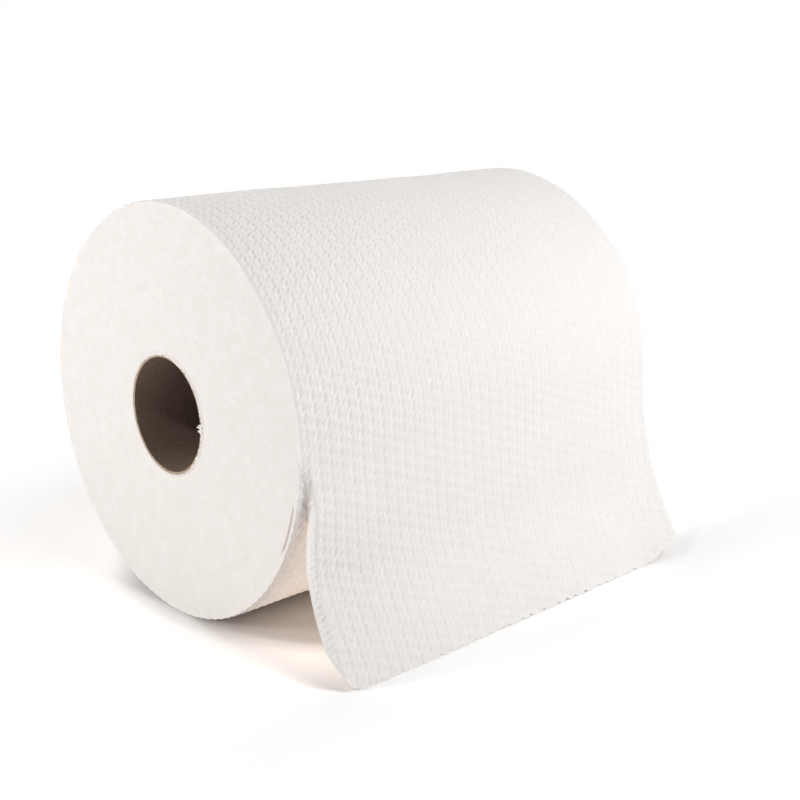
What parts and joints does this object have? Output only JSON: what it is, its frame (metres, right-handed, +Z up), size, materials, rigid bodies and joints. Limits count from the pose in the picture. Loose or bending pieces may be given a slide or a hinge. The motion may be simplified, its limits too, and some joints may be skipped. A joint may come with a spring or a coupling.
{
  "type": "paper towel roll",
  "caption": "Wide roll of white embossed paper towel wound on an open cardboard tube, lying on its side with the torn end of the web hanging down in front to the table.",
  "frame": {"origin": "on the table, at the middle of the flat spot that the roll rests on, under the middle of the roll", "axes": "+X along the roll's axis, +Z up, the free end of the web hangs on the -Y side"},
  "size_m": [0.235, 0.227, 0.1984],
  "materials": {
    "core_cardboard": "matte, spirally wound grey-brown board",
    "towel_paper": "matte, embossed in a close honeycomb of small hollows"
  },
  "bodies": {
    "root": {"core_tube": "core_cardboard", "paper_roll": "towel_paper"}
  },
  "joints": []
}
